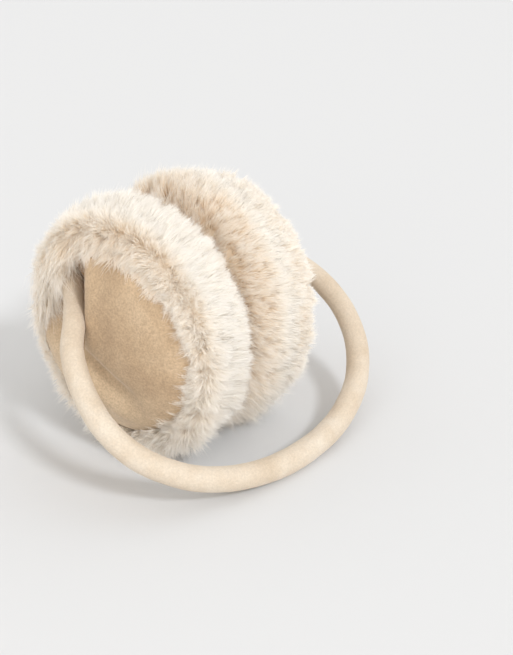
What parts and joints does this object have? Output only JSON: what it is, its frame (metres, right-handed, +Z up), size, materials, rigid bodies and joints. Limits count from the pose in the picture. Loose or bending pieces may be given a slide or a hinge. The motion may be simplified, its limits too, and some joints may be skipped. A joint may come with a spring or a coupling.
{
  "type": "fur earmuffs",
  "caption": "Earmuffs with thick fur cups, padded suede discs on their outer faces and a padded suede tube headband, lying on a flat surface.",
  "frame": {"origin": "centre of the bounding box's base, on the surface that the earmuffs lie on", "axes": "+X from the left cup to the right cup, +Y from the headband's front to the back of the cups, +Z up"},
  "size_m": [0.1647, 0.1432, 0.1174],
  "materials": {
    "headband": "brushed suede cloth",
    "suede_disc": "brushed suede cloth",
    "fur": "deep plush fur"
  },
  "bodies": {
    "root": {"headband": "headband", "suede_disc_left": "suede_disc", "suede_disc_right": "suede_disc", "fur_cup_left": "fur", "fur_cup_right": "fur"}
  },
  "joints": []
}
